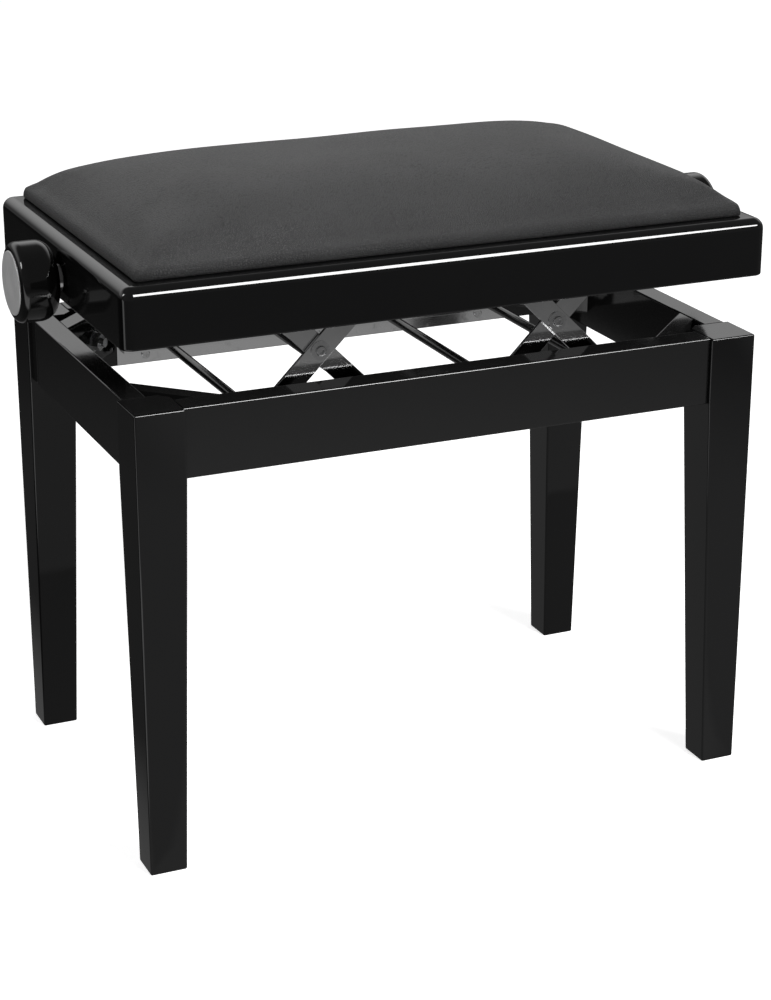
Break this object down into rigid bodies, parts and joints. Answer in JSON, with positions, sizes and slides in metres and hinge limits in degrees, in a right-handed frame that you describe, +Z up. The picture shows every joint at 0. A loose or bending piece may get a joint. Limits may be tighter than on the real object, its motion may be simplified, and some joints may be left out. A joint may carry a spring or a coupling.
{
  "type": "adjustable piano bench",
  "caption": "Rectangular piano bench: padded seat in a lacquered frame on a scissor lift turned by side knobs, over a base with tapered legs.",
  "frame": {"origin": "on the floor, under the middle of the bench", "axes": "+X to the right along the seat's long side, +Y to the back, +Z up"},
  "size_m": [0.6316, 0.3334, 0.541],
  "materials": {
    "black_lacquer": "high-gloss black lacquer on wood",
    "plated_steel": "bright nickel-like plating on steel",
    "black_rod": "gloss black steel rod",
    "zinc_steel": "bright zinc plate",
    "black_board": "plywood stained black",
    "leatherette": "fine-grained matt black leatherette",
    "knob_plastic": "polished black plastic",
    "cap_metal": "satin disc"
  },
  "bodies": {
    "base": {"leg_front_left": "black_lacquer", "corner_block_front_left": "black_lacquer", "leg_front_right": "black_lacquer", "corner_block_front_right": "black_lacquer", "leg_rear_left": "black_lacquer", "corner_block_rear_left": "black_lacquer", "leg_rear_right": "black_lacquer", "corner_block_rear_right": "black_lacquer", "apron_front": "black_lacquer", "apron_rear": "black_lacquer", "apron_left": "black_lacquer", "apron_right": "black_lacquer", "hanger_bolts": "zinc_steel", "hanger_nuts": "zinc_steel", "base_track_front": "plated_steel", "base_track_rear": "plated_steel", "base_track_screws": "plated_steel"},
    "left_drive_arms": {"left_drive_arm_front": "plated_steel", "left_drive_arm_rear": "plated_steel", "left_fixed_foot_rod": "black_rod", "left_centre_rivets": "plated_steel", "left_centre_washers": "plated_steel"},
    "left_follow_arms": {"left_follow_arm_front": "plated_steel", "left_follow_arm_rear": "plated_steel", "left_sliding_foot_rod": "black_rod", "left_head_pins": "plated_steel", "left_spacers": "plated_steel"},
    "left_nut": {"left_nut_block": "zinc_steel", "left_nut_rods": "plated_steel"},
    "right_drive_arms": {"right_drive_arm_front": "plated_steel", "right_drive_arm_rear": "plated_steel", "right_fixed_foot_rod": "black_rod", "right_centre_rivets": "plated_steel", "right_centre_washers": "plated_steel"},
    "right_follow_arms": {"right_follow_arm_front": "plated_steel", "right_follow_arm_rear": "plated_steel", "right_sliding_foot_rod": "black_rod", "right_head_pins": "plated_steel", "right_spacers": "plated_steel"},
    "right_nut": {"right_nut_block": "zinc_steel", "right_nut_rods": "plated_steel"},
    "seat": {"seat_track_front": "plated_steel", "seat_track_rear": "plated_steel", "seat_track_screws": "plated_steel", "seat_rail_front": "black_lacquer", "seat_rail_rear": "black_lacquer", "seat_rail_left": "black_lacquer", "seat_rail_right": "black_lacquer", "seat_board": "black_board", "cushion": "leatherette", "spindle_bushes": "plated_steel"},
    "spindle": {"spindle": "zinc_steel", "spindle_collars": "zinc_steel", "knob_left": "knob_plastic", "knob_cap_left": "cap_metal", "knob_right": "knob_plastic", "knob_cap_right": "cap_metal"}
  },
  "joints": [
    {"name": "lift", "type": "hinge", "parent": "base", "child": "left_drive_arms", "pos_m": [-0.1545, 0, 0.36], "axis": [0, -1, 0], "range_deg": [-23.8, 22]},
    {"name": "left_cross", "type": "hinge", "parent": "left_drive_arms", "child": "left_follow_arms", "pos_m": [-0.1045, 0, 0.41], "axis": [0, -1, 0], "range_deg": [-44, 47.6]},
    {"name": "seat_level", "type": "hinge", "parent": "left_follow_arms", "child": "seat", "pos_m": [-0.1545, 0, 0.46], "axis": [0, -1, 0], "range_deg": [-23.8, 22]},
    {"name": "left_nut_level", "type": "hinge", "parent": "left_drive_arms", "child": "left_nut", "pos_m": [-0.0545, 0, 0.46], "axis": [0, -1, 0], "range_deg": [-22, 23.8]},
    {"name": "right_lift", "type": "hinge", "parent": "base", "child": "right_drive_arms", "pos_m": [0.1545, 0, 0.36], "axis": [0, 1, 0], "range_deg": [-23.8, 22]},
    {"name": "right_cross", "type": "hinge", "parent": "right_drive_arms", "child": "right_follow_arms", "pos_m": [0.1045, 0, 0.41], "axis": [0, 1, 0], "range_deg": [-44, 47.6]},
    {"name": "right_nut_level", "type": "hinge", "parent": "right_drive_arms", "child": "right_nut", "pos_m": [0.0545, 0, 0.46], "axis": [0, 1, 0], "range_deg": [-22, 23.8]},
    {"name": "spindle_turn", "type": "hinge", "parent": "seat", "child": "spindle", "pos_m": [0, 0, 0.4555], "axis": [1, 0, 0], "range_deg": [-2200, 2380]}
  ],
  "couplings": [
    {"joint": "left_cross", "follows": "lift", "ratio": -2},
    {"joint": "seat_level", "follows": "lift", "ratio": 1},
    {"joint": "left_nut_level", "follows": "lift", "ratio": -1},
    {"joint": "right_lift", "follows": "lift", "ratio": 1},
    {"joint": "right_cross", "follows": "lift", "ratio": -2},
    {"joint": "right_nut_level", "follows": "lift", "ratio": -1},
    {"joint": "spindle_turn", "follows": "lift", "ratio": -100}
  ]
}
